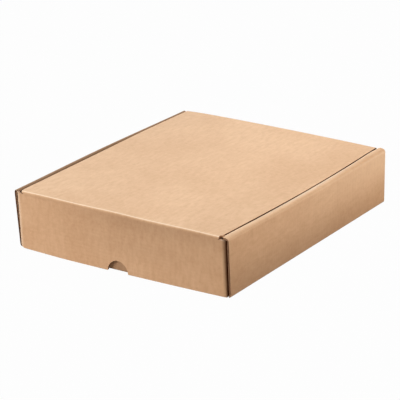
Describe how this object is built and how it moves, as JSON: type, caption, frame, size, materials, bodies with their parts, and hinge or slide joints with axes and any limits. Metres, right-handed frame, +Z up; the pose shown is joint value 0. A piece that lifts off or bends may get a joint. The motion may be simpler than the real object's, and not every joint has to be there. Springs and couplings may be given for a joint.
{
  "type": "cardboard mailer box",
  "caption": "Flat kraft corrugated mailer box, closed, with double side walls, a lid tucked between their rolled tops and a front flap that swings out from a thumb notch.",
  "frame": {"origin": "middle of the footprint, on the surface that the box stands on", "axes": "+X to the right seen from the front flap, +Y to the back along the longest side, +Z up"},
  "size_m": [0.25, 0.3, 0.0602],
  "materials": {
    "kraft_board": "matt"
  },
  "bodies": {
    "box": {"box": "kraft_board"},
    "front_flap": {"front_flap": "kraft_board"}
  },
  "joints": [
    {"name": "front_flap_fold", "type": "hinge", "parent": "box", "child": "front_flap", "pos_m": [0, -0.15, 0.0602], "axis": [-1, 0, 0], "range_deg": [0, 110]}
  ]
}
